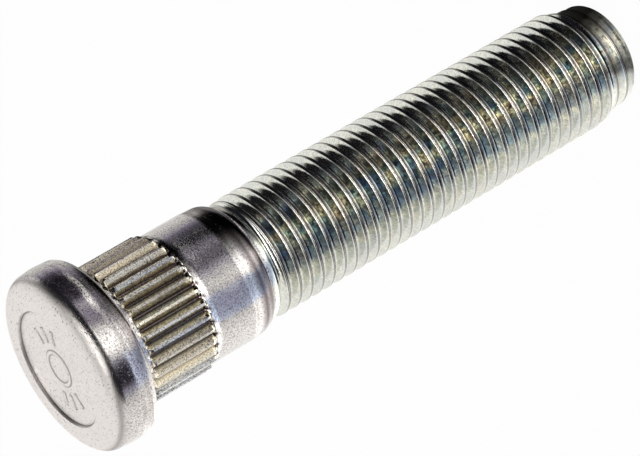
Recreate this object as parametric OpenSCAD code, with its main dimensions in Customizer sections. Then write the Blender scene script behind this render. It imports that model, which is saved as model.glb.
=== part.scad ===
// Press-in wheel stud: round forged head, serrated collar, plain shoulder and a coarse metric thread.
// The origin is the centre of the seat under the head. The head is above it, the shank hangs below.

/* [Head] */
// head diameter over its widest ring
head_d = 20.44; // [18:0.02:26]
// head height above the seat
head_h = 5.5; // [4:0.1:9]
// flat annulus of the head's face, outer diameter
face_d = 15.8; // [14:0.1:17]
// height of the rounded rim of the face
rim_h = 1.9; // [0.6:0.05:2]
// the side of the head leans in by this much at the rim
side_lean = 0.1; // [0:0.01:0.3]
// rounding of the head's back edge
back_round = 1; // [0.3:0.05:1.2]
// shallow round recess in the face, diameter
recess_d = 13.4; // [10:0.1:13.6]
// recess depth
recess_deep = 0.35; // [0.15:0.05:0.8]
// slope of the recess wall, measured across
recess_slope = 0.3; // [0.1:0.05:0.5]

/* [Head marks] */
// raised height of the plain marks in the recess
mark_h = 0.16; // [0.05:0.01:0.3]
// width of a mark
mark_w = 0.5; // [0.3:0.05:0.8]
// length of a mark
mark_l = 1.7; // [1:0.1:2.2]
// distance from the axis to the middle of the bars
mark_at = 3.9; // [3.6:0.1:4.8]
// turn between neighbouring bars, in degrees
mark_step = 22; // [18:1:40]
// turn of the middle bars from the X axis, in degrees
mark_turn = -19; // [-90:1:90]
// diameter of the raised ring in the middle
mark_ring_d = 4.2; // [3:0.1:5]

/* [Collar] */
// plain neck under the head, diameter
neck_d = 15; // [14.6:0.02:15.4]
// fillet between the seat and the neck
seat_fillet = 0.56; // [0.3:0.02:0.8]
// distance from the seat to the end of the plain neck
neck_l = 1.25; // [0.9:0.05:2.5]
// diameter over the serrations
serration_d = 15.88; // [15.6:0.02:16.6]
// diameter in the serration grooves
groove_d = 14.44; // [14.1:0.02:14.6]
// number of serrations
serrations = 32; // [24:1:40]
// distance from the seat to the end of the serrations
collar_l = 9.3; // [7:0.1:12]
// chamfer of the serrations at the head end
lead_in = 0.25; // [0.2:0.05:0.8]
// chamfer of the serrations at the shoulder end
lead_out = 0.5; // [0.4:0.05:1.4]
// flat on each serration crest, as a share of the tooth
crest_share = 0.18; // [0.06:0.01:0.25]
// turn of the first serration from the X axis, in degrees
first_tooth = -2; // [-6:0.25:6]

/* [Shoulder] */
// shoulder diameter
shoulder_d = 15.12; // [14.9:0.02:15.4]
// distance from the seat to the end of the straight shoulder
shoulder_l = 14.7; // [12.5:0.1:18]
// length of the shoulder's tapered end
taper_l = 1.3; // [0.6:0.1:2]
// shoulder diameter at the end of its taper
taper_d = 14.92; // [14.6:0.02:15]
// distance from the taper to the thread neck
round_l = 1.5; // [1.4:0.1:3]
// diameter at the thread neck
thread_neck_d = 13.32; // [13.1:0.02:13.4]

/* [Thread] */
// thread pitch
pitch = 1.5; // [1.25:0.05:2]
// diameter over the thread crests
crest_d = 13.76; // [13.6:0.02:14]
// thread depth as a share of the pitch
depth_share = 0.533; // [0.45:0.005:0.6]
// length over which the thread reaches its full depth
fade_l = 2; // [1:0.1:3]
// length of the tapered crests before the pilot
point_l = 2.5; // [1.5:0.1:3.5]

/* [Tip] */
// distance from the seat to the end of the stud
shank_l = 69.4; // [50:0.1:80]
// pilot diameter at the tip
pilot_d = 12; // [11.7:0.05:12.1]
// length of the straight pilot
pilot_l = 1.5; // [1:0.1:3]
// length of the rounded nose
nose_l = 1.5; // [1:0.1:2.5]
// flat at the end of the nose, diameter
end_d = 8.5; // [7:0.1:10]

/* [Hidden] */

// steps in a rounded profile
round_steps = 10;
// flat at the bottom of a serration groove, as a share of the tooth
root_share = 0.1;
// how far a piece reaches into its neighbour
bite = 0.8;
// step between the thread piece and the plain end it comes out of
step_in = 0.11;
// the same step at the pilot
step_pilot = 0.15;
// most triangles in the thread, and the bounds on its sides
thread_budget = 10000;
least_sides = 24;
most_sides = 36;
// share of a pitch where each corner of the thread profile lies: root, root, crest, crest
corner_at = [0, 0.25, 0.5625, 0.6875];
corner_high = [0, 0, 1, 1];
corners = len(corner_at);
// share of the pitch by which the first root clears the pilot
root_gap_share = 0.073;
// share of the crests' height over the pilot that is left just before it
point_share = 0.33;
// steel colour of the model
steel = [0.72, 0.72, 0.68];
half = 2;
full_turn = 360;
quarter_turn = 90;

head_r = head_d / half;
crest_r = crest_d / half;
neck_end = shoulder_l + taper_l + round_l;
thread_neck_r = thread_neck_d / half;
pilot_r = pilot_d / half;
pilot_top = shank_l - nose_l - pilot_l;
thread_depth = depth_share * pitch;
root_r = crest_r - thread_depth;

// points of a quarter of an ellipse, with half sizes across and high, from one angle to another
function bow(r, z, across, high, from, to) =
    [for (i = [0 : round_steps])
        let (a = from + (to - from) * i / round_steps)
        [r + across * cos(a), z + high * sin(a)]];

function shank_profile() = concat(
    [[0, head_h - recess_deep],
     [recess_d / half - recess_slope, head_h - recess_deep],
     [recess_d / half, head_h]],
    bow(face_d / half, head_h - rim_h, head_r - side_lean - face_d / half, rim_h, quarter_turn, 0),
    [[head_r, head_h / half]],
    bow(head_r - back_round, back_round, back_round, back_round, 0, -quarter_turn),
    bow(neck_d / half + seat_fillet, -seat_fillet, seat_fillet, seat_fillet, quarter_turn, full_turn / half),
    [[neck_d / half, -neck_l],
     [groove_d / half, -neck_l - (neck_d - groove_d) / half],
     [groove_d / half, -collar_l + (shoulder_d - groove_d) / half],
     [shoulder_d / half, -collar_l],
     [shoulder_d / half, -shoulder_l]],
    bow(thread_neck_r, -shoulder_l - taper_l, taper_d / half - thread_neck_r, round_l, 0, -quarter_turn),
    [[thread_neck_r, -neck_end - step_in],
     [0, -neck_end - step_in]]);

// head, plain neck, groove floor, shoulder and thread neck, turned as one piece
module shank() {
    color(steel) rotate_extrude($fn = full_turn) polygon(shank_profile());
}

// the serrated ring: a toothed bar cut to a barrel with a cone at each end
module serrated_collar() {
    tooth = full_turn / serrations;
    top_r = serration_d / half;
    low_r = groove_d / half - step_in;
    star = [for (i = [0 : serrations - 1], c = [[-crest_share / half, top_r], [crest_share / half, top_r],
            [1 / half - root_share / half, low_r], [1 / half + root_share / half, low_r]])
        let (a = (i + c[0]) * tooth + first_tooth) [c[1] * cos(a), c[1] * sin(a)]];
    barrel = [[0, -neck_l + step_in], [neck_d / half - step_in, -neck_l + step_in],
        [top_r + step_in, -neck_l - lead_in], [top_r + step_in, -collar_l + lead_out],
        [groove_d / half - step_in, -collar_l - step_in], [0, -collar_l - step_in]];
    color(steel) intersection() {
        translate([0, 0, -collar_l - bite]) linear_extrude(height = collar_l + bite) polygon(star);
        rotate_extrude($fn = full_turn) polygon(barrel);
    }
}

// reach of the crests at a depth below the seat: out of the neck, along the thread, down to the pilot
function reach(s) = lookup(s, [
    [neck_end - bite, thread_neck_r - half * step_in],
    [neck_end + step_in, thread_neck_r - step_in],
    [neck_end + bite, crest_r - step_in],
    [neck_end + fade_l, crest_r],
    [pilot_top - point_l, crest_r],
    [pilot_top - bite, pilot_r + (crest_r - pilot_r) * point_share],
    [pilot_top - step_in, pilot_r - step_pilot],
    [pilot_top + bite, pilot_r - step_pilot]]);

// how deep the thread is cut at a depth below the seat
function cut(s) = max(0, min(reach(s) - root_r,
    lookup(s, [[neck_end + half * step_in, 0], [neck_end + half * step_in + fade_l, thread_depth]])));

// the thread: one closed right-hand screw surface, its profile marched up a sheared grid
module screw_thread() {
    low = -pilot_top + root_gap_share * pitch;
    turns = floor((-neck_end - step_in - low) / pitch - 1);
    sides = max(least_sides, min(most_sides, floor(thread_budget / (half * corners * turns))));
    rows = corners * turns;
    function z_at(k, m) = low + pitch * (floor(m / corners) + corner_at[m % corners] + k / sides);
    function r_at(k, m) = let (s = -z_at(k, m)) reach(s) - cut(s) * (1 - corner_high[m % corners]);
    function at(k, r, z) = [r * cos(full_turn * k / sides), r * sin(full_turn * k / sides), z];
    function grid(k, m) = k * (rows + 1) + m;
    low_ring = sides * (rows + 1);
    top_ring = low_ring + sides;
    low_mid = top_ring + sides;
    top_mid = low_mid + 1;
    z_low = -pilot_top - bite;
    z_top = -neck_end + bite;
    points = concat(
        [for (k = [0 : sides - 1], m = [0 : rows]) at(k, r_at(k, m), z_at(k, m))],
        [for (k = [0 : sides - 1]) at(k, reach(-z_low), z_low)],
        [for (k = [0 : sides - 1]) at(k, reach(-z_top), z_top)],
        [[0, 0, z_low], [0, 0, z_top]]);
    last = sides - 1;
    faces = concat(
        [for (k = [0 : last - 1], m = [0 : rows - 1]) each [
            [grid(k, m), grid(k, m + 1), grid(k + 1, m + 1)],
            [grid(k, m), grid(k + 1, m + 1), grid(k + 1, m)]]],
        [for (m = [0 : rows - corners - 1]) each [
            [grid(last, m), grid(last, m + 1), grid(0, m + corners + 1)],
            [grid(last, m), grid(0, m + corners + 1), grid(0, m + corners)]]],
        [for (k = [0 : last - 1]) each [
            [low_ring + k, grid(k, 0), grid(k + 1, 0)],
            [low_ring + k, grid(k + 1, 0), low_ring + k + 1],
            [grid(k, rows), top_ring + k, top_ring + k + 1],
            [grid(k, rows), top_ring + k + 1, grid(k + 1, rows)]]],
        [for (m = [0 : corners - 1]) each [
            [grid(last, 0), grid(0, m + 1), grid(0, m)],
            [grid(0, rows), grid(last, rows - corners + m), grid(last, rows - corners + m + 1)]]],
        [[grid(last, 0), grid(0, 0), low_ring], [grid(last, 0), low_ring, low_ring + last],
         [grid(0, rows), grid(last, rows), top_ring + last], [grid(0, rows), top_ring + last, top_ring]],
        [for (k = [0 : last]) let (next = (k + 1) % sides) each [
            [low_mid, low_ring + k, low_ring + next],
            [top_mid, top_ring + next, top_ring + k]]]);
    color(steel) polyhedron(points = points, faces = faces, convexity = corners);
}

// pilot and rounded nose
module nose() {
    color(steel) rotate_extrude($fn = full_turn) polygon(concat(
        [[0, -pilot_top], [pilot_r, -pilot_top]],
        bow(end_d / half, -shank_l + nose_l, pilot_r - end_d / half, nose_l, 0, -quarter_turn),
        [[0, -shank_l]]));
}

// plain raised marks in the recess: a ring in the middle and three bars on each side
module face_marks() {
    floor_z = head_h - recess_deep;
    color(steel) {
        difference() {
            translate([0, 0, floor_z - mark_h]) cylinder(h = half * mark_h, r = mark_ring_d / half, $fn = full_turn);
            translate([0, 0, floor_z - bite]) cylinder(h = half * bite, r = mark_ring_d / half - mark_w, $fn = full_turn);
        }
        for (side = [0 : 1], i = [-1 : 1])
            rotate([0, 0, side * full_turn / half + i * mark_step + mark_turn])
                translate([mark_at - mark_l / half, -mark_w / half, floor_z - mark_h])
                    cube([mark_l, mark_w, half * mark_h]);
    }
}

module wheel_stud() {
    union() {
        shank();
        serrated_collar();
        screw_thread();
        nose();
        face_marks();
    }
}

wheel_stud();
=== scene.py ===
# %% [markdown]
# A press-in wheel stud, forged and thread-rolled from one bar of steel and then zinc plated. The whole
# stud is one skin: it starts at the middle of the tip, climbs the nose, the thread, the shoulder, the
# serrated collar and the head, and closes in the middle of the head's recess. Each stretch is a surface
# of two parameters, angle and height, worked out with numpy on a grid. Blender's own cylinders and
# screw modifier could rough it out, but here each row of points falls just where a crease is. The stud
# stands on its tip, so +Z points from the tip to the head.

import bmesh
import bpy
import numpy as np
from mathutils import Matrix, Vector


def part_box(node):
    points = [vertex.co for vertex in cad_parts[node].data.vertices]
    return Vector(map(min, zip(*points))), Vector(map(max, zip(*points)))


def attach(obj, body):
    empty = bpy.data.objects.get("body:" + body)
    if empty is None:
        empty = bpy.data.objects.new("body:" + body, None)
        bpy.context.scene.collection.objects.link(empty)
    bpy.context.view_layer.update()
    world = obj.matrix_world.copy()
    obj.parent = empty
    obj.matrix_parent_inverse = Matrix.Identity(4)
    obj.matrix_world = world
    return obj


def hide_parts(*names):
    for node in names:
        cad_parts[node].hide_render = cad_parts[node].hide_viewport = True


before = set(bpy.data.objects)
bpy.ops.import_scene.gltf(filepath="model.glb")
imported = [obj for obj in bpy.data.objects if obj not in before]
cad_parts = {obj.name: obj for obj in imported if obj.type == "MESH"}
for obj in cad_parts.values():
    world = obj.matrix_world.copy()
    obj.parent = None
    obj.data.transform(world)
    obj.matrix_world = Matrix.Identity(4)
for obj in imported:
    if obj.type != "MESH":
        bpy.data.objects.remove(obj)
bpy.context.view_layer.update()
MM = 0.001
FULL_TURN = 2 * np.pi
node_low, node_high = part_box("wheel_stud")
TIP_Z = node_low[2] / MM
FACE_Z = node_high[2] / MM
print("stud from %.2f to %.2f mm, seat at 0" % (TIP_Z, FACE_Z))

# %% [markdown]
# ## The mesh book
# Every length is in millimetres, and heights are counted down from the seat under the head, as on a
# drawing. The sizes follow the solid model to a few tenths of a millimetre, and each is named in the
# cell that first needs it.
#
# The real stud has no seams, so all stretches share one list of points. A ring is a row of points round
# the axis, and a band of faces joins two rings. Separate pieces would be easier to make, but they would
# show a line where they meet. Rings are laid from the tip upwards and anticlockwise, so every face
# points outwards.

# %% The mesh book
points = []
edge_masks = []
# The fold masks hold painted shade, and on the collar a stain.
shade_and_stain_masks = []
quads = []
tris = []


def lay_points(angle, height, radius, edge=0.0, fold=0.0):
    """Puts down points at (radius cos angle, radius sin angle, -height) and returns their numbers."""
    angle, height, radius, edge, fold = np.broadcast_arrays(angle, height, radius, edge, fold)
    first = sum(len(block) for block in points)
    grid = np.stack([radius * np.cos(angle), radius * np.sin(angle), -height], -1)
    points.append(grid.reshape(-1, 3) * MM)
    edge_masks.append(edge.reshape(-1))
    shade_and_stain_masks.append(fold.reshape(-1))
    return first + np.arange(angle.size).reshape(angle.shape)


def band(rows):
    """Quads between each ring and the next one up. rows holds point numbers, one row for each ring."""
    low, high = rows[:-1], rows[1:]
    quads.append(np.stack([low, np.roll(low, -1, 1), np.roll(high, -1, 1), high], -1).reshape(-1, 4))


def stitch(low, low_angle, high, high_angle):
    """Triangles between two rings of unlike count: each edge meets the other ring's point at its end."""
    low_end = low_angle + np.diff(low_angle, append=low_angle[0] + FULL_TURN)
    high_end = high_angle + np.diff(high_angle, append=high_angle[0] + FULL_TURN)
    high_at = np.searchsorted(high_end, low_end, side="left") % len(high)
    low_at = np.searchsorted(low_end, high_end, side="right") % len(low)
    tris.append(np.stack([low, np.roll(low, -1), high[high_at]], -1))
    tris.append(np.stack([low[low_at], np.roll(high, -1), high], -1))


def cap(ring, middle, upwards):
    """A fan of triangles from a ring to the point in its middle."""
    beside = np.roll(ring, -1)
    fan = [ring, beside, np.full(len(ring), middle)]
    tris.append(np.stack(fan if upwards else [fan[1], fan[0], fan[2]], -1))


# %% [markdown]
# ## The tip
# The bar's end was rounded before the thread was rolled, so the nose is a quarter of an ellipse on a
# flat end. A bevel modifier could round it too, but the thread fades out on this curve and needs its
# formula. The rings here stop part way up the nose, where the thread's grid takes over.

# %% End and nose
THREAD_COLUMNS = 120
NOSE_BASE = 67.9
NOSE_H = 1.5
PILOT_R = 6.0
END_R = 4.1
THREAD_FOOT = 68.6
FLAT_RINGS = 6
NOSE_RINGS = 12
thread_angle = np.arange(THREAD_COLUMNS) * FULL_TURN / THREAD_COLUMNS


def ellipse_rows(centre_r, centre_h, across, tall, start, stop, count):
    """Radii and heights on an ellipse: centre plus half width times cosine, plus half height times sine."""
    a = np.radians(np.linspace(start, stop, count))
    return centre_r + across * np.cos(a), centre_h + tall * np.sin(a)


def nose_reach(s):
    """Radius of the nose at a depth s: the end's radius plus the rest times root of one minus t squared."""
    t = np.clip((s - NOSE_BASE) / NOSE_H, 0, 1)
    return END_R + (PILOT_R - END_R) * np.sqrt(1 - t * t)


foot_turn = np.degrees(np.arcsin((THREAD_FOOT - NOSE_BASE) / NOSE_H))
flat_r = np.linspace(0.4, END_R - 0.25, FLAT_RINGS)
nose_r, nose_h = ellipse_rows(END_R, NOSE_BASE, PILOT_R - END_R, NOSE_H, 90, foot_turn, NOSE_RINGS)
tip_r = np.concatenate([flat_r, nose_r])
tip_h = np.concatenate([np.full(FLAT_RINGS, -TIP_Z), nose_h])
tip_middle = lay_points(np.zeros(1), -TIP_Z, np.zeros(1))[0]
tip_rows = lay_points(thread_angle[None, :], tip_h[:, None], tip_r[:, None])
cap(tip_rows[0], tip_middle, upwards=False)
band(tip_rows)
print("end and nose rings:", len(tip_rows))

# %% [markdown]
# ## Smooth steps and slow swells
# Forged metal has no hard starts and no perfect circles. A smooth step lets a form or a stain begin
# softly, and a sum of a few sine waves gives the slow swell of a hammered surface, the same on each
# run.

# %% Smooth steps and slow swells
WAVES = 6


def smooth(x, low, high):
    """Zero below low and one above high, with a smooth S between: t squared times (3 minus 2 t)."""
    t = np.clip((x - low) / (high - low), 0, 1)
    return t * t * (3 - 2 * t)


def wobble(angle, height, seed, lumps, tall):
    """A slow swell: the mean of sine waves, each a whole number of lumps round and some cycles up."""
    rng = np.random.default_rng(seed)
    total = np.zeros(np.broadcast(angle, height).shape)
    for _ in range(WAVES):
        around = rng.integers(1, lumps + 1)
        up = rng.uniform(-1, 1) / tall
        total = total + np.sin(around * angle + FULL_TURN * up * height + rng.uniform(0, FULL_TURN))
    return total / WAVES


def turn_from(angle, degrees):
    """The short way round from a direction to each angle, in radians from minus pi to pi."""
    return np.angle(np.exp(1j * (angle - np.radians(degrees))))


# %% [markdown]
# ## The thread
# A rolled thread is a right-hand screw surface. A stack of rings would look alike from afar, but its
# ends would be wrong. So the profile is marched up a grid that is sheared by one pitch a turn, and
# crests and roots follow the grid's rows and stay sharp. Rolling squeezes the metal up from both
# flanks, which leaves two round lips on each crest with a fine fold between them.

# %% Thread profile
PITCH = 1.5
CREST_R = 6.91
ROOT_R = 6.08
# place up one pitch, height over the root, rubbed metal that is partly wear and partly painted highlight,
# painted shade on the crest and in its fold, painted shade on the flanks that is heaviest towards the camera
PROFILE = np.array([
    (0.0, 0.0, 0.6, 0.0, 0.0), (0.06, 0.04, 0.4, 0.0, 0.0), (0.13, 0.21, 0.0, 0.0, 0.2),
    (0.35, 0.915, 0.0, 0.0, 0.4), (0.385, 0.985, 0.0, 0.45, 0.3), (0.47, 1.0, 0.0, 0.7, 0.3),
    (0.525, 0.96, 0.9, 0.3, 0.0), (0.555, 0.87, 0.0, 1.0, 0.0), (0.58, 0.96, 0.0, 0.5, 0.3),
    (0.6, 1.0, 0.0, 0.15, 0.3), (0.62, 0.985, 0.8, 0.0, 0.0), (0.65, 0.915, 1.0, 0.0, 0.0),
    (0.68, 0.82, 0.0, 0.0, 0.7), (0.87, 0.21, 0.0, 0.0, 0.2), (0.905, 0.12, 0.2, 0.0, 0.0),
    (0.95, 0.03, 0.6, 0.0, 0.0)])
profile_at, profile_high, profile_wear_and_glint, profile_crest_shade, profile_side_shade = PROFILE.T
FOLD_STEP = 7
FALLING_FLANK = (0.1, 0.36)
CORNERS = len(profile_at)
# Painted shade and painted highlight are heaviest on the side towards the camera: a bell curve this wide
# about this turn.
PAINTED_SIDE_TURN = -88
PAINTED_SIDE_WIDE = 34
print("thread depth: %.2f mm, profile points: %d" % (CREST_R - ROOT_R, CORNERS))


def camera_side_bell(angle):
    """A bell curve about the side towards the camera, where painted shade, painted highlight and the film's
    tint are laid on most.
    """
    return np.exp(-((np.degrees(turn_from(angle, PAINTED_SIDE_TURN)) / PAINTED_SIDE_WIDE) ** 2))


# %% [markdown]
# The thread doesn't end at a step. At the neck it rises out of a plain waist over one turn, and at the
# tip its crests and roots run together on the nose. Both are lines of radius over depth, read at places
# along the stud.

# %% Where the thread begins and ends
THREAD_NECK_R = 6.66
NECK_END = 17.5
THREAD_TOP = 17.6
FADE_END = NECK_END + 2.0
CREST_AT = [NECK_END, 18.1, 18.7, 19.3, 63.9, 65.0, 65.7, 66.4, 67.2, NOSE_BASE]
CREST_LINE = [THREAD_NECK_R, THREAD_NECK_R, 6.74, CREST_R, CREST_R, 6.55, 6.25, 6.12, 6.08, 6.02]
ROOT_AT = [64.5, 65.3, 66.1, 66.5, 67.2, 68.0, THREAD_FOOT]
ROOT_LINE = [ROOT_R, 6.26, 6.1, 6.05, 6.0, 5.9, nose_reach(THREAD_FOOT)]
RUN_OUT = 65.2
THIN_END = 66.4
RUN_OUT_GLINT_END = 66.2
THINNER = 2
FOLD_WAVER = 0.05
CREST_WAVER = 0.01
# angle in degrees, depth under the seat, half width, half height and depth of each dent on a crest
DENTS = [(-70, 35.0, 0.7, 0.45, 0.13), (-84, 33.6, 0.45, 0.4, 0.09), (-66, 38.1, 0.6, 0.4, 0.06),
         (-118, 57.5, 0.5, 0.4, 0.08), (-60, 52.0, 0.4, 0.3, 0.06), (40, 44.0, 0.8, 0.5, 0.12)]


def reach(s):
    """Radius of the crests at a depth s under the seat: straight lines between places, then the nose."""
    line = np.interp(s, CREST_AT, CREST_LINE)
    return np.minimum(line, np.where(s > NOSE_BASE, nose_reach(s), CREST_R))


def cut(s):
    """Depth of the thread: crests less roots, at most the full depth times the fade at the neck."""
    root = np.interp(s, ROOT_AT, ROOT_LINE)
    fade = smooth(s, THREAD_TOP + 0.1, FADE_END)
    return np.clip(np.minimum(reach(s) - root, (CREST_R - ROOT_R) * fade), 0, None)


def thread_radius(angle, s, step):
    """Crest radius less the depth of the cut times one minus the profile's height, less a bell per dent."""
    high = profile_high[step % CORNERS] ** (1 + THINNER * smooth(s, RUN_OUT, THIN_END))
    fold = (step % CORNERS) == FOLD_STEP
    high = np.where(fold, high + FOLD_WAVER * wobble(angle, s, 5, 5, 8), high)
    radius = reach(s) - cut(s) * (1 - high)
    radius = radius + CREST_WAVER * wobble(angle, s, 7, 9, 3) * high * cut(s)
    for dent_turn, dent_s, wide, tall, deep in DENTS:
        away = turn_from(angle, dent_turn) * CREST_R
        radius = radius - deep * high**4 * np.exp(-((away / wide) ** 2) - ((s - dent_s) / tall) ** 2)
    return radius


print("full thread from %.1f to %.1f mm under the seat, dents: %d" % (FADE_END, CREST_AT[4], len(DENTS)))

# %% [markdown]
# The sheared grid is one turn too long at each end. Its heights are held between the foot and the top
# of the thread, so the extra rows fall on the two level rings there, and a weld takes them away at the
# end. That way the screw needs no special faces where it starts and stops.

# %% The thread's sheared grid
CREST_AT_START = -21.775
TURNS_BELOW = 32
WEAR_AND_GLINT_LEAST = 0.3
RUN_OUT_GLINT = 0.7
THREAD_LOW = CREST_AT_START - PITCH / 2 - TURNS_BELOW * PITCH
TURNS = int(np.ceil((-THREAD_TOP - THREAD_LOW) / PITCH))
step = np.arange(CORNERS * TURNS + 1)
share = np.arange(THREAD_COLUMNS) / THREAD_COLUMNS
thread_s = -(THREAD_LOW + PITCH * (step[:, None] // CORNERS + profile_at[step % CORNERS][:, None] + share))
thread_s = np.clip(thread_s, THREAD_TOP, THREAD_FOOT)
thread_r = thread_radius(thread_angle[None, :], thread_s, step[:, None])

full = smooth(thread_s, NECK_END + 0.6, FADE_END)
run_out = smooth(thread_s, RUN_OUT, RUN_OUT_GLINT_END)
camera_side = camera_side_bell(thread_angle)
falling = ((profile_at > FALLING_FLANK[0]) & (profile_at < FALLING_FLANK[1]))[step % CORNERS][:, None]
# Rubbed metal on the lips and in the roots is partly wear and partly painted highlight, heaviest towards the
# camera. Near the tip it is painted highlight on the falling flanks.
bare = profile_wear_and_glint[step % CORNERS][:, None] * full * (WEAR_AND_GLINT_LEAST + (1 - WEAR_AND_GLINT_LEAST) * camera_side)
bare = bare + RUN_OUT_GLINT * falling * run_out * camera_side
# The dark mask is painted shade: on the crest and in its fold, and on the flanks, most on the side towards
# the camera.
dark = profile_crest_shade[step % CORNERS][:, None] + profile_side_shade[step % CORNERS][:, None] * camera_side
thread_rows = lay_points(thread_angle[None, :], thread_s, thread_r, bare, dark * full)

low, high = thread_rows[:-1], thread_rows[1:]
quads.append(np.stack([low[:, :-1], low[:, 1:], high[:, 1:], high[:, :-1]], -1).reshape(-1, 4))
seam_low, seam_high = thread_rows[:-CORNERS, -1], thread_rows[CORNERS:, 0]
quads.append(np.stack([seam_low[:-1], seam_high[:-1], seam_high[1:], seam_low[1:]], -1))
print("thread turns:", TURNS, "points:", thread_rows.size)

# %% [markdown]
# ## Shoulder
# Between collar and thread the bar is plain. It narrows by a slight taper and then rounds over to the
# thread's waist, and its taper and round are painted darker in rings as painted shade. A spun profile is all
# it needs, and its columns are the collar's own, so that the two join point to point.

# %% Shoulder
SHOULDER_R = 7.56
SHOULDER_END = 14.7
TAPER_R = 7.46
TAPER_END = 16.0
SHOULDER_ROUND = 1.07
STRAIGHT_RINGS = 10
SHOULDER_WAVER = 0.012
COLLAR_END = 9.3
TOOTH_COUNT = 32
FIRST_TOOTH = np.radians(-2)
# Painted shade in rings on the shoulder's taper and round, by depth under the seat.
SHOULDER_SHADE_AT = [14.5, 14.75, 15.0, 15.4, 15.9, 16.4, 16.9, 17.3, 17.5]
SHOULDER_SHADE_DARK = [0.0, 0.5, 0.1, 0.45, 1.0, 0.65, 1.0, 0.45, 0.1]
# the two crest points, then half way down, the two floor points, and half way up again
tooth_share = np.array([-0.09, 0.09, 0.27, 0.45, 0.55, 0.73])
tooth_high = np.array([1, 1, 0.5, 0, 0, 0.5])
tooth_turn = FULL_TURN / TOOTH_COUNT
collar_angle = ((np.arange(TOOTH_COUNT)[:, None] + tooth_share) * tooth_turn).ravel() + FIRST_TOOTH
collar_high = np.tile(tooth_high, TOOTH_COUNT)

round_r, round_h = ellipse_rows(TAPER_R - SHOULDER_ROUND, TAPER_END, SHOULDER_ROUND, NECK_END - TAPER_END,
                                76, 0, 11)
straight_h = np.linspace(SHOULDER_END, COLLAR_END + 0.45, STRAIGHT_RINGS)
shoulder_h = np.concatenate([round_h, [15.5, 15.05, 14.85], straight_h])
shoulder_r = np.concatenate([round_r, [7.49, 7.515, 7.535], np.full(STRAIGHT_RINGS, SHOULDER_R)])
waver = SHOULDER_WAVER * wobble(collar_angle[None, :], shoulder_h[:, None], 3, 4, 9)
shoulder_shade = np.interp(shoulder_h, SHOULDER_SHADE_AT, SHOULDER_SHADE_DARK)
shoulder_rows = lay_points(collar_angle[None, :], shoulder_h[:, None], shoulder_r[:, None] + waver,
                           0.0, shoulder_shade[:, None])
stitch(thread_rows[-1], thread_angle, shoulder_rows[0], collar_angle)
band(shoulder_rows)
print("shoulder rings:", len(shoulder_rows))

# %% [markdown]
# ## Serrated collar
# The collar grips the hub. Its serrations are V grooves pressed into the blank, 32 of them, closed at
# both ends by a sloping wall. Cutting them with a boolean would leave ragged faces, so the radius
# itself is worked out: the lower of the tooth profile and the end cones, and never under the groove's
# floor.

# %% Collar's shape
COLLAR_TOP = 1.25
NECK_R = 7.5
TOOTH_R = 7.94
GROOVE_R = 7.2
END_WALL = 0.36
CREST_IN = 0.2
CREST_OUT = 0.45
SCUFF = 0.03
collar_s = np.array([COLLAR_END + 0.06, COLLAR_END, COLLAR_END - END_WALL / 2, COLLAR_END - END_WALL,
                     COLLAR_END - END_WALL - 0.12, COLLAR_END - 0.75, COLLAR_END - 1.6, 6.4, 5.2, 4.0, 2.9,
                     COLLAR_TOP + 0.9, COLLAR_TOP + 0.5, COLLAR_TOP + 0.3, COLLAR_TOP + 0.15, COLLAR_TOP])


def tooth_radius(high, s):
    """The tooth between groove floor and crest, cut by a cone at each end; each groove ends in a wall."""
    groove = np.maximum(GROOVE_R, np.maximum(NECK_R - (s - COLLAR_TOP), SHOULDER_R - (COLLAR_END - s)))
    crest_in = NECK_R + (TOOTH_R - NECK_R) * np.clip((s - COLLAR_TOP) / CREST_IN, 0, 1)
    crest_out = SHOULDER_R + (TOOTH_R - SHOULDER_R) * np.clip((COLLAR_END - s) / CREST_OUT, 0, 1)
    tooth = GROOVE_R + (TOOTH_R - GROOVE_R) * high
    return np.maximum(np.minimum(np.minimum(tooth, crest_in), crest_out), groove)


collar_r = tooth_radius(collar_high[None, :], collar_s[:, None])
scuff = wobble(collar_angle[None, :] * 7, collar_s[:, None], 11, 9, 1.4)
collar_r = collar_r + SCUFF * scuff * collar_high[None, :]
print("collar: %d serrations, radius %.2f to %.2f mm" % (TOOTH_COUNT, collar_r.min(), collar_r.max()))

# %% [markdown]
# Crests are rubbed bright, partly wear and partly painted highlight. The grooves are painted dark as painted
# shade, most of all at the end walls, and one side has a brown stain. These are masks from zero to one, kept
# with the points, so that the finish can follow the form.

# %% Collar's wear
CREST_HIGH = 0.9
GROOVE_DARK = 0.9
END_DARK_TALL = 0.3
STAIN_DARK = 0.45
STAIN_TURN = -8
STAIN_WIDE = np.radians(36)
# Rubbed crests: partly wear, partly painted highlight.
collar_wear_and_glint = np.where(collar_high[None, :] > CREST_HIGH, 1.0, 0.0) * np.ones_like(collar_r)
stain = STAIN_DARK * np.exp(-((turn_from(collar_angle, STAIN_TURN) / STAIN_WIDE) ** 2))
# Painted shade on the groove floors and at the end walls. The stain is the collar's own.
groove_shade = GROOVE_DARK * (collar_high[None, :] == 0) * (collar_s > COLLAR_TOP + 0.1)[:, None]
from_wall = np.abs(collar_s - COLLAR_END + END_WALL / 2)
end_wall_shade = (collar_high[None, :] < 0.5) * (from_wall < END_DARK_TALL)[:, None]
collar_shade_and_stain = np.maximum(np.maximum(groove_shade, end_wall_shade), stain)
collar_rows = lay_points(collar_angle[None, :], collar_s[:, None], collar_r, collar_wear_and_glint, collar_shade_and_stain)
band(np.vstack([shoulder_rows[-1:], collar_rows]))
print("collar rings:", len(collar_rows))

# %% [markdown]
# ## Head
# The head was upset in a closed die: a flat seat with a fillet to the neck, a barrel side, and a rim
# that rolls over into the face. A lathe profile gives all of them, with quarter ellipses for the round
# stretches. It wavers by two hundredths of a millimetre, because a die wears and a perfect circle looks
# false in a reflection.

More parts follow.
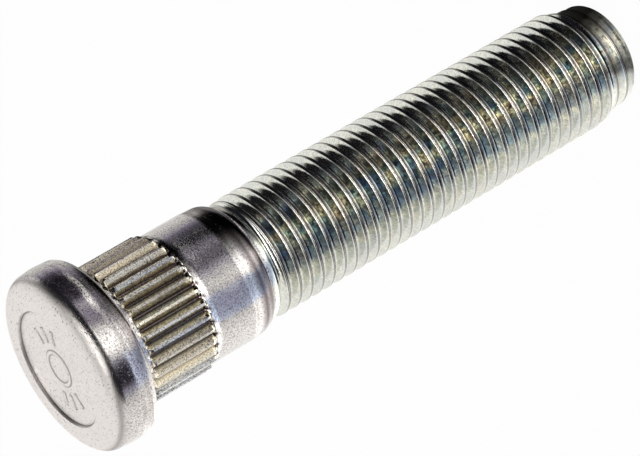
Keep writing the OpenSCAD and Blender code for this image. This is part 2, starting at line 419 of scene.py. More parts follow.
# %% Head outside
SEAT_FILLET = 0.56
HEAD_R = 10.22
RIM_R = 10.12
FACE_R = 7.9
RIM_H = 1.9
BACK_ROUND = 1.0
BACK_IN = 0.07
SIDE_RINGS = 9
HEAD_WAVER = 0.02
face_r = np.array([7.6, 7.2, 6.95, 6.82])
fillet_r, fillet_h = ellipse_rows(NECK_R + SEAT_FILLET, SEAT_FILLET, SEAT_FILLET, SEAT_FILLET, 180, 270, 8)
back_r, back_h = ellipse_rows(HEAD_R - BACK_ROUND - BACK_IN, -BACK_ROUND, BACK_ROUND, BACK_ROUND, 90, 8, 9)
side_h = np.linspace(-BACK_ROUND - 0.3, -FACE_Z + RIM_H + 0.15, SIDE_RINGS)
side_bow = np.linspace(-0.8, 1, SIDE_RINGS)
side_r = HEAD_R - (HEAD_R - RIM_R) * side_bow**2
rim_r, rim_h = ellipse_rows(FACE_R, -FACE_Z + RIM_H, RIM_R - FACE_R, RIM_H, -6, -90, 14)
outside_r = np.concatenate([[NECK_R], fillet_r, [8.8], back_r, side_r, rim_r, face_r])
outside_h = np.concatenate([[0.9], fillet_h, [0.0], back_h, side_h, rim_h, np.full(len(face_r), -FACE_Z)])
head_waver = HEAD_WAVER * wobble(collar_angle[None, :], outside_h[:, None], 21, 3, 6)
head_waver = head_waver * smooth(-outside_h, 0.3, 2)[:, None]
print("head profile points:", len(outside_r))

# %% [markdown]
# A darker ring is painted where the rim rolls over, and another on the round beside the seat, heavier
# towards the camera: both are painted shade.

# %% Head's darker rings
RIM_RING_R = 9.78
RIM_RING_WIDE = 0.2
RIM_RING_DARK = 0.55
BACK_RING_R = 8.9
BACK_RING_DARK = 0.8
rim_shade = RIM_RING_DARK * np.exp(-(((outside_r - RIM_RING_R) / RIM_RING_WIDE) ** 2))
rim_shade = rim_shade * (outside_h < -FACE_Z + RIM_H)
back_shade = BACK_RING_DARK * smooth(-outside_h, 0.1, 0.3) * (1 - smooth(-outside_h, 0.8, 1.6))
back_shade = back_shade * (outside_r > BACK_RING_R)
shade = np.maximum(rim_shade[:, None], back_shade[:, None] * camera_side_bell(collar_angle)[None, :] ** 0.5)
outside_rows = lay_points(collar_angle[None, :], outside_h[:, None], outside_r[:, None] + head_waver,
                          0.0, shade)
band(np.vstack([collar_rows[-1:], outside_rows]))
print("head rings:", len(outside_rows))

# %% [markdown]
# ## Recess in the face
# The die's punch sinks the middle of the face by a third of a millimetre and leaves small raised marks:
# here six plain bars and a ring. Separate small solids could make them, but as a height on the recess's
# own rings they melt into the floor as forged marks do.

# %% Recess and its raised marks
RECESS_R = 6.7
RECESS_DEEP = 0.35
MARK_H = 0.11
MARK_AT = 3.9
MARK_L = 1.7
MARK_W = 0.5
MARK_SOFT = 0.24
MARK_STEP = 22
MARK_TURN = -19
RING_R = 1.85
MARK_EDGE_DARK = 3.2
MARK_RUBBED = 0.5
wall_r = np.array([RECESS_R, 6.67, 6.61, 6.57, 6.5, 6.3])
wall_drop = [0.04, 0.12, 0.28, 0.34]
# Painted shade at the foot of the recess wall.
wall_dark = [0.0, 0.1, 0.6, 0.9, 0.3]
floor_r = np.concatenate([wall_r, np.arange(6.0, 0.3, -0.125)])
floor_drop = np.concatenate([wall_drop, np.full(len(floor_r) - len(wall_drop), RECESS_DEEP)])
wall_shade = np.concatenate([wall_dark, np.zeros(len(floor_r) - len(wall_dark))])


def stripe(away, width):
    """One inside a stripe of this width and zero outside it, by a smooth step over its soft edge."""
    return smooth(-np.abs(away), -width / 2 - MARK_SOFT / 2, -width / 2 + MARK_SOFT / 2)


def mark_height(angle, radius):
    """The higher of a ring and of six bars, each bar a stripe along times a stripe across."""
    x, y = radius * np.cos(angle), radius * np.sin(angle)
    total = stripe(radius - RING_R, MARK_W)
    for side in (0, 180):
        for place in (-1, 0, 1):
            turn = np.radians(side + place * MARK_STEP + MARK_TURN)
            along = x * np.cos(turn) + y * np.sin(turn) - MARK_AT
            across = y * np.cos(turn) - x * np.sin(turn)
            total = np.maximum(total, stripe(along, MARK_L) * stripe(across, MARK_W))
    return total


marks = mark_height(collar_angle[None, :], floor_r[:, None])
floor_h = -FACE_Z + floor_drop[:, None] - MARK_H * marks
# The marks' slopes are painted dark as painted shade, joined to the painted shade at the wall's foot. Their
# tops are rubbed.
mark_shade = np.maximum(MARK_EDGE_DARK * marks * (1 - marks), wall_shade[:, None])
recess_rows = lay_points(collar_angle[None, :], floor_h, floor_r[:, None], MARK_RUBBED * marks, mark_shade)
middle = lay_points(np.zeros(1), -FACE_Z + RECESS_DEEP, np.zeros(1))[0]
band(np.vstack([outside_rows[-1:], recess_rows]))
cap(recess_rows[-1], middle, upwards=True)
print("recess rings:", len(recess_rows))

# %% [markdown]
# ## One mesh from the book
# The whole stud becomes one closed mesh, with the masks as point attributes. Smooth shading would round
# off the serrations, and flat shading would show every facet, so faces are smooth and only edges over
# 38 degrees sharp.

# %% The stud's mesh
WELD = 1e-7
SHARP_TURN = np.radians(38)
FILM_LEAST = 0.15
FILM_NECK = 0.35
FILM_FULL = (18.6, 20)
MATTE_TOP = 0.4
MATTE_EDGE = (9.65, 10.2)
MATTE_WAVER = 0.08
all_points = np.concatenate(points)
all_quads = np.concatenate(quads)
all_tris = np.concatenate(tris)
stud_mesh = bpy.data.meshes.new("stud_skin")
stud_mesh.from_pydata(all_points.tolist(), [], all_quads.tolist() + all_tris.tolist())
x, y, z = all_points.T / MM
around, away = np.arctan2(y, x), np.hypot(x, y)
# The film's tint is heaviest towards the camera, which paints a darker, coloured reflection on that side. It
# is thinner near the neck.
film = FILM_LEAST + (1 - FILM_LEAST) * camera_side_bell(around)
film = film * (FILM_NECK + (1 - FILM_NECK) * smooth(-z, *FILM_FULL))
matte_edge = smooth(away + MATTE_WAVER * wobble(around, z, 31, 12, 4), *MATTE_EDGE)
matte = (z > FACE_Z - RIM_H - MATTE_TOP) * (1 - matte_edge)
masks = {"edge": np.concatenate(edge_masks), "fold": np.concatenate(shade_and_stain_masks),
         "film": film, "matte": matte}
for name, mask in masks.items():
    layer = stud_mesh.attributes.new(name, "FLOAT", "POINT")
    layer.data.foreach_set("value", mask.astype(np.float32))
weld = bmesh.new()
weld.from_mesh(stud_mesh)
bmesh.ops.remove_doubles(weld, verts=weld.verts, dist=WELD)
weld.to_mesh(stud_mesh)
weld.free()
stud_mesh.polygons.foreach_set("use_smooth", np.ones(len(stud_mesh.polygons), bool))
stud_mesh.set_sharp_from_angle(angle=SHARP_TURN)
print("points welded:", len(all_points) - len(stud_mesh.vertices))

# %% [markdown]
# The lips of the thread's crests are rolled round, so their edges are made soft again, all but the fold
# between them. The rubbed-metal mask, which is partly wear and partly painted highlight, is above zero on
# the lips and in the round roots, and an edge is made soft when it is so at both its ends.

# %% Soft lips on the crests
LIP = 0.1
edge_mask = np.zeros(len(stud_mesh.vertices), np.float32)
stud_mesh.attributes["edge"].data.foreach_get("value", edge_mask)
corner_at = np.zeros(len(stud_mesh.vertices) * 3, np.float32)
stud_mesh.vertices.foreach_get("co", corner_at)
is_lip = (edge_mask > LIP) & (corner_at[2::3] < -NECK_END * MM)
edge_ends = np.zeros(len(stud_mesh.edges) * 2, int)
stud_mesh.edges.foreach_get("vertices", edge_ends)
edge_ends = edge_ends.reshape(-1, 2)
sharp = stud_mesh.attributes["sharp_edge"]
is_sharp = np.zeros(len(edge_ends), bool)
sharp.data.foreach_get("value", is_sharp)
is_sharp &= ~is_lip[edge_ends].all(1)
sharp.data.foreach_set("value", is_sharp)
print("sharp edges:", int(is_sharp.sum()))

# %% [markdown]
# The object stays at the origin, in the solid model's own frame. It rides on the one body and stands in for
# the one solid.

# %% The stud's place in the frame
stud = bpy.data.objects.new("stud_skin", stud_mesh)
bpy.context.collection.objects.link(stud)
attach(stud, "root")
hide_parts("wheel_stud")
stud_mesh.calc_loop_triangles()
print("triangles:", len(stud_mesh.loop_triangles))

# %% [markdown]
# ## Zinc plating
# Bright zinc with a thin yellow passivation: pale metal whose film is a little thicker or thinner from
# place to place, which tints it straw, green or violet-blue. A painted texture would need unwrapping
# and would blur close up, so the tint is worked out from the object's own coordinates. It is the same
# shader group in every finish below. Five small helpers keep the node code short.

# %% Helpers for shader nodes
def add_node(tree, kind, place=(0, 0), **settings):
    """A shader node of this kind with its properties set."""
    node = tree.nodes.new(kind)
    node.location = place
    for name, value in settings.items():
        setattr(node, name, value)
    return node


def new_group(name, inputs, outputs):
    """An empty node group with named sockets, and its input and output nodes."""
    tree = bpy.data.node_groups.new(name, "ShaderNodeTree")
    for label, kind, value in inputs:
        socket = tree.interface.new_socket(label, in_out="INPUT", socket_type=kind)
        if value is not None:
            socket.default_value = value
    for label, kind in outputs:
        tree.interface.new_socket(label, in_out="OUTPUT", socket_type=kind)
    return tree, add_node(tree, "NodeGroupInput"), add_node(tree, "NodeGroupOutput")


def ramp(tree, source, stops):
    """A colour ramp through stops of (position, colour)."""
    node = add_node(tree, "ShaderNodeValToRGB")
    elements = node.color_ramp.elements
    while len(elements) < len(stops):
        elements.new(0.5)
    for element, (position, colour) in zip(elements, stops):
        element.position = position
        element.color = (*colour, 1) if len(colour) == 3 else colour
    tree.links.new(source, node.inputs["Fac"])
    return node.outputs["Color"]


def math_node(tree, operation, a, b):
    """Arithmetic on two values, each a socket or a number."""
    node = add_node(tree, "ShaderNodeMath", operation=operation)
    for socket, value in zip(node.inputs, (a, b)):
        if isinstance(value, (int, float)):
            socket.default_value = value
        else:
            tree.links.new(value, socket)
    return node.outputs[0]


def noise(tree, coordinates, scale, detail=3.0, roughness=0.5, distortion=0.0):
    """Value noise at a scale in waves a metre."""
    node = add_node(tree, "ShaderNodeTexNoise")
    tree.links.new(coordinates, node.inputs["Vector"])
    node.inputs["Scale"].default_value = scale
    node.inputs["Detail"].default_value = detail
    node.inputs["Roughness"].default_value = roughness
    node.inputs["Distortion"].default_value = distortion
    return node.outputs["Fac"]


# %% [markdown]
# The film's colour wanders in patches of two or three millimetres, through navy, green, cream and
# straw, and is broken by small dark blotches. Two noises through two colour ramps, one times the other,
# give both.

# %% The plating's tint as a shader group
PATCHES = 400
BLOTCHES = 2000
FILM_STOPS = [
    (0.38, (0.13, 0.25, 0.42)), (0.45, (0.31, 0.50, 0.50)), (0.50, (0.66, 0.77, 0.62)),
    (0.56, (1.0, 0.95, 0.68)), (0.64, (0.60, 0.52, 0.37))]
BLOTCH_STOPS = [(0.41, (0.06, 0.06, 0.07)), (0.48, (0.40, 0.40, 0.40)), (0.54, (1, 1, 1))]
tint_group, tint_in, tint_out = new_group(
    "zinc_film",
    [("Vector", "NodeSocketVector", None), ("Bare", "NodeSocketColor", (0.8, 0.79, 0.74, 1)),
     ("Amount", "NodeSocketFloat", 0.5)],
    [("Color", "NodeSocketColor"), ("Film", "NodeSocketFloat")],
)
patches = noise(tint_group, tint_in.outputs["Vector"], PATCHES, 4, 0.6, 0.4)
film_colour = ramp(tint_group, patches, FILM_STOPS)
blotch_noise = noise(tint_group, tint_in.outputs["Vector"], BLOTCHES, 4, 0.8, 0.3)
blotches = ramp(tint_group, blotch_noise, BLOTCH_STOPS)
film_mix = add_node(tint_group, "ShaderNodeMix", data_type="RGBA", blend_type="MULTIPLY")
film_mix.inputs["Factor"].default_value = 1.0
tint_group.links.new(film_colour, film_mix.inputs["A"])
tint_group.links.new(blotches, film_mix.inputs["B"])
tint_mix = add_node(tint_group, "ShaderNodeMix", data_type="RGBA", blend_type="MIX")
tint_group.links.new(tint_in.outputs["Amount"], tint_mix.inputs["Factor"])
tint_group.links.new(tint_in.outputs["Bare"], tint_mix.inputs["A"])
tint_group.links.new(film_mix.outputs["Result"], tint_mix.inputs["B"])
tint_group.links.new(tint_mix.outputs["Result"], tint_out.inputs["Color"])
tint_group.links.new(patches, tint_out.inputs["Film"])
print("tint group nodes:", len(tint_group.nodes))

# %% [markdown]
# Plated steel is never smooth up close: it has a fine grain from the pickling bath and scattered pits.
# Modelled pits would cost too many faces, so the group gives grain and pits as one height for a Bump
# node, the pits again as a mask, and the grain again as a dark speck.

# %% Grain and pits as a shader group
FINE_GRAIN = 6500
COARSE_GRAIN = 3600
PITS = 4300
PIT_STOPS = [(0.30, (1, 1, 1)), (0.38, (0, 0, 0))]
SPECK_STOPS = [(0.34, (0.30, 0.29, 0.33)), (0.47, (0.88, 0.88, 0.88)), (0.60, (1, 1, 1))]
grain_group, grain_in, grain_out = new_group(
    "plating_grain",
    [("Vector", "NodeSocketVector", None), ("Grain", "NodeSocketFloat", 0.5),
     ("Pits", "NodeSocketFloat", 0.5)],
    [("Height", "NodeSocketFloat"), ("Pitted", "NodeSocketFloat"), ("Speck", "NodeSocketColor")],
)
where = grain_in.outputs["Vector"]
fine = noise(grain_group, where, FINE_GRAIN, 2, 0.6)
coarse = noise(grain_group, where, COARSE_GRAIN, 2, 0.55)
pit = ramp(grain_group, noise(grain_group, where, PITS, 2, 0.6), PIT_STOPS)
grain_height = math_node(grain_group, "MULTIPLY", math_node(grain_group, "ADD", fine, coarse),
                         grain_in.outputs["Grain"])
pit_depth = math_node(grain_group, "MULTIPLY", pit, grain_in.outputs["Pits"])
speck = ramp(grain_group, fine, SPECK_STOPS)
surface_height = math_node(grain_group, "SUBTRACT", grain_height, pit_depth)
grain_group.links.new(surface_height, grain_out.inputs["Height"])
grain_group.links.new(pit_depth, grain_out.inputs["Pitted"])
grain_group.links.new(speck, grain_out.inputs["Speck"])
print("grain group nodes:", len(grain_group.nodes))

# %% [markdown]
# ## The four finishes
# The stud came out of one bath, yet each stretch met it with another surface: rolled flanks are bright and
# hold a coloured film, the pressed collar is straw and pitted, the plain shoulder and the forged head are
# grey and speckled. So one recipe is used four times with other values. It lays rubbed metal on the edges,
# which is partly wear and partly painted highlight, specks and pits on the open ground, and a dark colour
# that is painted shade in the folds, grooves and rings and a stain on one side of the collar, each where its
# mask says.

# %% A finish from the two groups
# Rubbed metal is partly painted highlight. The dark colour is painted shade, and on the collar a stain.
WEAR_AND_GLINT_METAL = (0.93, 0.91, 0.86)
PIT_STAIN = (0.25, 0.23, 0.24)
SHADE_AND_STAIN = (0.085, 0.065, 0.07)
PIT_DARK = 0.8
MATTE_CLEARS = 0.75
MATTE_ROUGH = 0.3
FILM_ROUGH = 0.12


def mixed(tree, blend, factor, a, b):
    """One colour over another: the factor is a socket or a number, each colour a socket or a triple."""
    node = add_node(tree, "ShaderNodeMix", data_type="RGBA", blend_type=blend)
    for name, value in (("Factor", factor), ("A", a), ("B", b)):
        if isinstance(value, float):
            node.inputs[name].default_value = value
        elif isinstance(value, tuple):
            node.inputs[name].default_value = (*value, 1)
        else:
            tree.links.new(value, node.inputs[name])
    return node.outputs["Result"]


def plated_finish(name, bare, film, speck, pits, rough, bump, wear_and_glint):
    """Zinc-plated steel: tint times specks times pits, mixed by the masks with rubbed metal that is partly
    painted highlight, and with a dark colour that is painted shade and in one place a stain.
    """
    material = bpy.data.materials.new(name)
    material.use_nodes = True
    tree = material.node_tree
    shader = tree.nodes["Principled BSDF"]
    shader.inputs["Metallic"].default_value = 1.0
    where = add_node(tree, "ShaderNodeTexCoord").outputs["Object"]
    mask = {key: add_node(tree, "ShaderNodeAttribute", attribute_name=key).outputs["Fac"] for key in masks}
    tint = add_node(tree, "ShaderNodeGroup", node_tree=tint_group)
    tint.inputs["Bare"].default_value = (*bare, 1)
    tree.links.new(where, tint.inputs["Vector"])
    tree.links.new(math_node(tree, "MULTIPLY", mask["film"], film), tint.inputs["Amount"])
    skin = add_node(tree, "ShaderNodeGroup", node_tree=grain_group)
    skin.inputs["Grain"].default_value = 1.0
    skin.inputs["Pits"].default_value = pits
    tree.links.new(where, skin.inputs["Vector"])
    # Rubbed metal on the edges: partly wear, partly painted highlight.
    wear_and_glint_mix = math_node(tree, "MULTIPLY", mask["edge"], wear_and_glint)
    colour = mixed(tree, "MIX", wear_and_glint_mix, tint.outputs["Color"], WEAR_AND_GLINT_METAL)
    cleared = math_node(tree, "MULTIPLY", mask["matte"], MATTE_CLEARS * speck)
    ground = math_node(tree, "SUBTRACT", speck, cleared)
    colour = mixed(tree, "MULTIPLY", ground, colour, skin.outputs["Speck"])
    pitted = math_node(tree, "MULTIPLY", skin.outputs["Pitted"], PIT_DARK)
    colour = mixed(tree, "MULTIPLY", pitted, colour, PIT_STAIN)
    # The fold mask lays this dark colour: painted shade in creases, grooves and rings, and on the collar a
    # stain.
    colour = mixed(tree, "MIX", mask["fold"], colour, SHADE_AND_STAIN)
    tree.links.new(colour, shader.inputs["Base Color"])
    clouded = math_node(tree, "MULTIPLY", tint.outputs["Film"], FILM_ROUGH)
    uneven = math_node(tree, "ADD", clouded, rough - FILM_ROUGH / 2)
    matted = math_node(tree, "ADD", uneven, math_node(tree, "MULTIPLY", mask["matte"], MATTE_ROUGH))
    tree.links.new(matted, shader.inputs["Roughness"])
    relief = add_node(tree, "ShaderNodeBump")
    relief.inputs["Strength"].default_value = 1.0
    relief.inputs["Distance"].default_value = bump * MM
    tree.links.new(skin.outputs["Height"], relief.inputs["Height"])
    tree.links.new(relief.outputs["Normal"], shader.inputs["Normal"])
    return material


# %% [markdown]
# The four sets of values: the bare metal's colour, then how much film, speck, pits, roughness, relief in
# millimetres and rubbed edge, the last partly painted highlight. The relief is a few thousandths, for a
# deeper one would blur the reflections.

# %% The four finishes
LOOKS = {
    "rolled_thread": dict(bare=(0.87, 0.88, 0.82), film=0.95, speck=0.3, pits=0.4,
                          rough=0.10, bump=0.006, wear_and_glint=0.85),
    "pressed_collar": dict(bare=(0.92, 0.81, 0.58), film=1.0, speck=1.0, pits=1.2,
                           rough=0.12, bump=0.007, wear_and_glint=0.6),
    "plain_shoulder": dict(bare=(0.87, 0.84, 0.83), film=0.3, speck=1.0, pits=0.9,
                           rough=0.11, bump=0.0035, wear_and_glint=0.5),
    "forged_head": dict(bare=(0.89, 0.85, 0.83), film=0.12, speck=1.0, pits=1.2,
                        rough=0.13, bump=0.0065, wear_and_glint=0.4),
}
finishes = {name: plated_finish(name, **looks) for name, looks in LOOKS.items()}
for material in finishes.values():
    stud_mesh.materials.append(material)
print("finishes:", ", ".join(finishes))

# %% [markdown]
# Each face takes its finish by the height of its middle. The stretches meet at creases of the form, so
# the change of finish falls where the eye expects one.

# %% Which stretch gets which finish
STRETCH_TOP = {"plain_shoulder": NECK_END + 0.2, "pressed_collar": COLLAR_END, "forged_head": COLLAR_TOP}
centre = np.zeros(len(stud_mesh.polygons) * 3)
stud_mesh.polygons.foreach_get("center", centre)
centre = centre.reshape(-1, 3) / MM
which = np.zeros(len(centre), int)
for name, depth in STRETCH_TOP.items():
    which[centre[:, 2] > -depth] = list(finishes).index(name)
stud_mesh.polygons.foreach_set("material_index", which.astype(np.int32))
print("faces by finish:", dict(zip(finishes, np.bincount(which, minlength=len(finishes)).tolist())))

# %% [markdown]
# ## Studio
# The stud was shot on a white sweep, with the dark room behind the camera and a long soft box beside
# it. The floor and the world show white to the camera and in the metal, and the floor keeps the stud's
# shadow for all other light. An image backdrop would not follow the camera; this stays white from every
# side.

# %% White for the eye, soft light for the rest
def backdrop_shader(tree, soft_white):
    """White to the camera and in reflections, and a soft light of its own strength for everything else."""
    rays = add_node(tree, "ShaderNodeLightPath")
    seen = math_node(tree, "MAXIMUM", rays.outputs["Is Camera Ray"], rays.outputs["Is Glossy Ray"])
    seen = math_node(tree, "MAXIMUM", seen, rays.outputs["Is Transmission Ray"])
    strength = math_node(tree, "ADD", math_node(tree, "MULTIPLY", seen, 1 - soft_white), soft_white)
    return seen, strength


# %% [markdown]
# The sweep is a flat floor under the tip. Its paint is a mix of glow, for the eye, and plain matt
# white, which takes the shadow. From below it is clear, so that the stud can be looked at from there
# too.

# %% Floor
FLOOR_Z = TIP_Z * MM
SWEEP = 6.0
FLOOR_WHITE = 0.96
FLOOR_PAINT = (0.9, 0.9, 0.89, 1)
floor_mesh = bpy.data.meshes.new("floor")
corners = [(x * SWEEP, y * SWEEP, FLOOR_Z) for x, y in ((-1, -1), (1, -1), (1, 1), (-1, 1))]
floor_mesh.from_pydata(corners, [], [(0, 1, 2, 3)])
floor = bpy.data.objects.new("floor", floor_mesh)
bpy.context.collection.objects.link(floor)
floor_paint = bpy.data.materials.new("floor_paint")
floor_paint.use_nodes = True
tree = floor_paint.node_tree
tree.nodes.clear()
seen, _ = backdrop_shader(tree, 0.0)
white = add_node(tree, "ShaderNodeEmission")
white.inputs["Strength"].default_value = 1.0
matte = add_node(tree, "ShaderNodeBsdfDiffuse")
matte.inputs["Color"].default_value = FLOOR_PAINT
blend_white = add_node(tree, "ShaderNodeMixShader")
tree.links.new(math_node(tree, "MULTIPLY", seen, FLOOR_WHITE), blend_white.inputs["Fac"])
tree.links.new(matte.outputs[0], blend_white.inputs[1])
tree.links.new(white.outputs[0], blend_white.inputs[2])
under = add_node(tree, "ShaderNodeMixShader")
clear = add_node(tree, "ShaderNodeBsdfTransparent")
tree.links.new(add_node(tree, "ShaderNodeNewGeometry").outputs["Backfacing"], under.inputs["Fac"])
tree.links.new(blend_white.outputs[0], under.inputs[1])
tree.links.new(clear.outputs[0], under.inputs[2])
tree.links.new(under.outputs[0], add_node(tree, "ShaderNodeOutputMaterial").inputs["Surface"])
floor_mesh.materials.append(floor_paint)
print("floor at %.4f m, %.0f m across" % (FLOOR_Z, 2 * SWEEP))

# %% [markdown]
# The world carries on the sweep's white all round. As light it is a little dimmer than it looks, which
# leaves the soft box some say.

# %% World
SOFT_WHITE = 0.6
world = bpy.data.worlds.new("white_sweep")
world.use_nodes = True
bpy.context.scene.world = world
tree = world.node_tree
_, strength = backdrop_shader(tree, SOFT_WHITE)
tree.links.new(strength, tree.nodes["Background"].inputs["Strength"])
tree.nodes["Background"].inputs["Color"].default_value = (1, 1, 1, 1)
print("world: white where it is seen, %.1f as light" % SOFT_WHITE)

# %% [markdown]
# ## What the metal mirrors
# Polished metal has no shading of its own: its bands are pictures of the room. The dark room is an open
# tent of cards that only reflections see, so that it darkens the metal in bands and hides nothing. A
# standing stud's sides mirror the floor, and a higher stretch mirrors it farther out. So the floor card
# glows by a table over the turn about the stud for each stretch. Lamps alone would give spots and not
# bands, and an image of a room would bring foreign shapes with it.

# %% Light of the floor card for each stretch
# pairs of a turn in degrees, 0 towards +X and -90 towards the camera, and the light that a stretch sees
THREAD_MAT = [
    (180, 1.75), (160, 1.85), (130, 1.8), (105, 1.25), (80, 0.18), (60, 0.34), (40, 0.5), (30, 0.25),
    (20, 0.014), (6, 0.002), (-20, 0.002), (-30, 0.004), (-40, 0.05), (-50, 0.19), (-60, 0.42), (-66, 0.6),
    (-76, 1.3), (-84, 2.1), (-96, 2.5), (-108, 1.65), (-118, 0.7), (-130, 0.68), (-144, 0.9), (-154, 1.35),
    (-162, 1.6)]
RUN_OUT_MAT = [
    (180, 1.4), (130, 1.3), (80, 0.25), (40, 0.4), (20, 0.014), (-30, 0.004), (-50, 0.15), (-60, 0.4),
    (-66, 0.8), (-76, 2.0), (-84, 3.0), (-96, 3.0), (-108, 1.7), (-118, 0.4), (-128, 0.4), (-138, 0.9),
    (-162, 1.4)]
NOSE_MAT = [
    (180, 1.1), (130, 1.0), (80, 0.25), (40, 0.3), (20, 0.02), (-30, 0.01), (-50, 0.06), (-66, 0.35),
    (-84, 0.8), (-96, 0.8), (-108, 0.4), (-118, 0.16), (-128, 0.2), (-138, 0.85), (-162, 1.1)]
SHOULDER_MAT = [
    (180, 0.92), (160, 1.04), (130, 1.04), (100, 0.95), (80, 0.85), (60, 0.75), (40, 0.68), (30, 0.55),
    (20, 0.42), (10, 0.15), (0, 0.06), (-20, 0.003), (-40, 0.17), (-50, 0.1), (-66, 0.08), (-76, 0.3),
    (-84, 0.48), (-96, 0.62), (-108, 0.5), (-118, 0.34), (-126, 0.3), (-140, 0.33), (-154, 0.5),
    (-162, 0.68)]
COLLAR_MAT = [
    (180, 0.65), (160, 0.4), (140, 1.3), (100, 1.4), (80, 0.25), (60, 0.8), (40, 0.35), (20, 0.12), (0, 1.0),
    (-20, 1.4), (-40, 1.4), (-60, 1.0), (-84, 1.4), (-96, 1.3), (-118, 1.6), (-140, 1.5), (-162, 0.9)]
BACK_MAT = [
    (180, 0.85), (100, 0.9), (60, 0.6), (40, 0.45), (20, 0.1), (6, 0.01), (-20, 0.01), (-40, 0.12),
    (-60, 0.04), (-76, 0.08), (-96, 0.25), (-108, 0.15), (-126, 0.03), (-144, 0.06), (-162, 0.7)]
HEAD_MAT = [
    (180, 0.95), (160, 1.06), (100, 1.05), (80, 0.55), (60, 0.7), (40, 0.57), (30, 0.42), (20, 0.16),
    (6, 0.02), (-14, 0.01), (-24, 0.1), (-30, 0.8), (-40, 2.6), (-50, 1.5), (-60, 0.2), (-66, 0.12),
    (-76, 0.9), (-84, 1.6), (-96, 1.7), (-108, 1.0), (-118, 0.35), (-126, 0.05), (-144, 0.04),
    (-154, 0.35), (-162, 0.85)]
FAR_MAT = [
    (180, 0.88), (160, 0.92), (80, 0.85), (40, 0.5), (20, 0.05), (6, 0.01), (-30, 0.03), (-40, 0.4),
    (-54, 0.25), (-66, 0.25), (-78, 1.0), (-94, 1.7), (-106, 1.0), (-116, 0.15), (-126, 0.02),
    (-144, 0.03), (-162, 0.6)]
# each stretch's table holds between two distances from the stud, in metres, and blends into the next
STRETCHES = [NOSE_MAT, RUN_OUT_MAT, THREAD_MAT, SHOULDER_MAT, COLLAR_MAT, BACK_MAT, HEAD_MAT, FAR_MAT]
MAT_TABLES = [table for table in STRETCHES for _ in range(2)]
MAT_REACH = np.array([0.0, 0.0088, 0.0125, 0.019, 0.028, 0.112, 0.119, 0.147,
                      0.155, 0.164, 0.17, 0.177, 0.182, 0.194, 0.22, 2.0])
print("light tables:", len(STRETCHES), "from", MAT_REACH[0], "to", MAT_REACH[-1], "m")

# %% [markdown]
# The tables give grey light only. On one side it turns navy, and on the shoulder and the head the dim
# light turns violet: both are colours of a thin passivated film. The card is a round grid with its
# rings close together where the stretches change, and its colours are kept with its points.

# %% Floor card
BLUE_FROM = (108, 118)
BLUE_TO = (150, 162)
BLUE_REACH = (0.01, 0.024)
VIOLET_GREY = (0.1, 0.6)
VIOLET_REACH = (0.114, 0.124)
CARD_LIFT = 0.0002
NAVY = np.array([0.82, 0.95, 1.2])
VIOLET = np.array([1.0, 0.9, 1.22])
CREAM = np.array([1.0, 0.985, 0.95])


def mat_light(turn, away):
    """The light table of each stretch, read at the turn and blended by distance, times a tint."""
    closed = [table + [(-180, table[0][1])] for table in MAT_TABLES]
    pairs = [np.array([(-t, light) for t, light in table]).T for table in closed]
    tables = np.stack([np.interp(-turn, at, light) for at, light in pairs])
    place = np.interp(away, MAT_REACH, np.arange(len(MAT_REACH)))
    low = np.minimum(place.astype(int), len(MAT_REACH) - 2)
    part = (place - low)[:, None]
    grey = (tables[low] * (1 - part) + tables[low + 1] * part)[..., None]
    blue = (smooth(-turn, *BLUE_FROM) * (1 - smooth(-turn, *BLUE_TO)))[None, :, None]
    blue = blue * smooth(away, *BLUE_REACH)[:, None, None]
    violet = (1 - smooth(grey, *VIOLET_GREY)) * smooth(away, *VIOLET_REACH)[:, None, None]
    colour = CREAM * (1 - blue) + NAVY * blue
    return grey * (colour * (1 - violet) + VIOLET * violet)


mat_turn = np.linspace(180, -180, 361)
mat_r = np.concatenate([np.geomspace(0.0015, 0.1, 24), np.linspace(0.104, 0.25, 41),
                        np.geomspace(0.3, 1.49, 6)])
mat_x = mat_r[:, None] * np.cos(np.radians(mat_turn))
mat_y = mat_r[:, None] * np.sin(np.radians(mat_turn))
mat_points = np.stack([mat_x, mat_y, np.full(mat_x.shape, FLOOR_Z + CARD_LIFT)], -1)
mat_colour = mat_light(mat_turn, mat_r)
print("floor card points:", mat_x.size)

# %% [markdown]
# The head's face and every slope that leans back mirror the room instead: white behind the stud, a dark
# wall behind the camera that arches over to the top, one long bright patch for the soft box, and a
# faint strip at the horizon. They are painted on half a sphere by direction, which needs no lamp and no
# real wall.

# %% Room card
ROOM_R = 1.5
WALL_FROM = (-172, -158)
WALL_TO = (18, 32)
WALL_TOP = (60, 72)
ARCH_UP = (50, 62)
ARCH_OVER = (80, 108)
WALL_LIGHT = np.array([0.012, 0.012, 0.016])
WHITE_LIGHT = np.array([0.95, 0.94, 0.92])
KEY_TURN = -92
KEY_UP = 55
KEY_WIDE = 46
KEY_TALL = 4.0
KEY_LIGHT = 15.0
STRIP_TURN = -88
STRIP_UP = 0
STRIP_WIDE = 20
STRIP_TALL = 8
STRIP_LIGHT = 2.0


def patch(turn, up, middle, size):
    """A bright patch: a bell curve over the turn times a bell curve over the height angle."""
    return np.exp(-(((turn - middle[0]) / size[0]) ** 2) - ((up - middle[1]) / size[1]) ** 2)


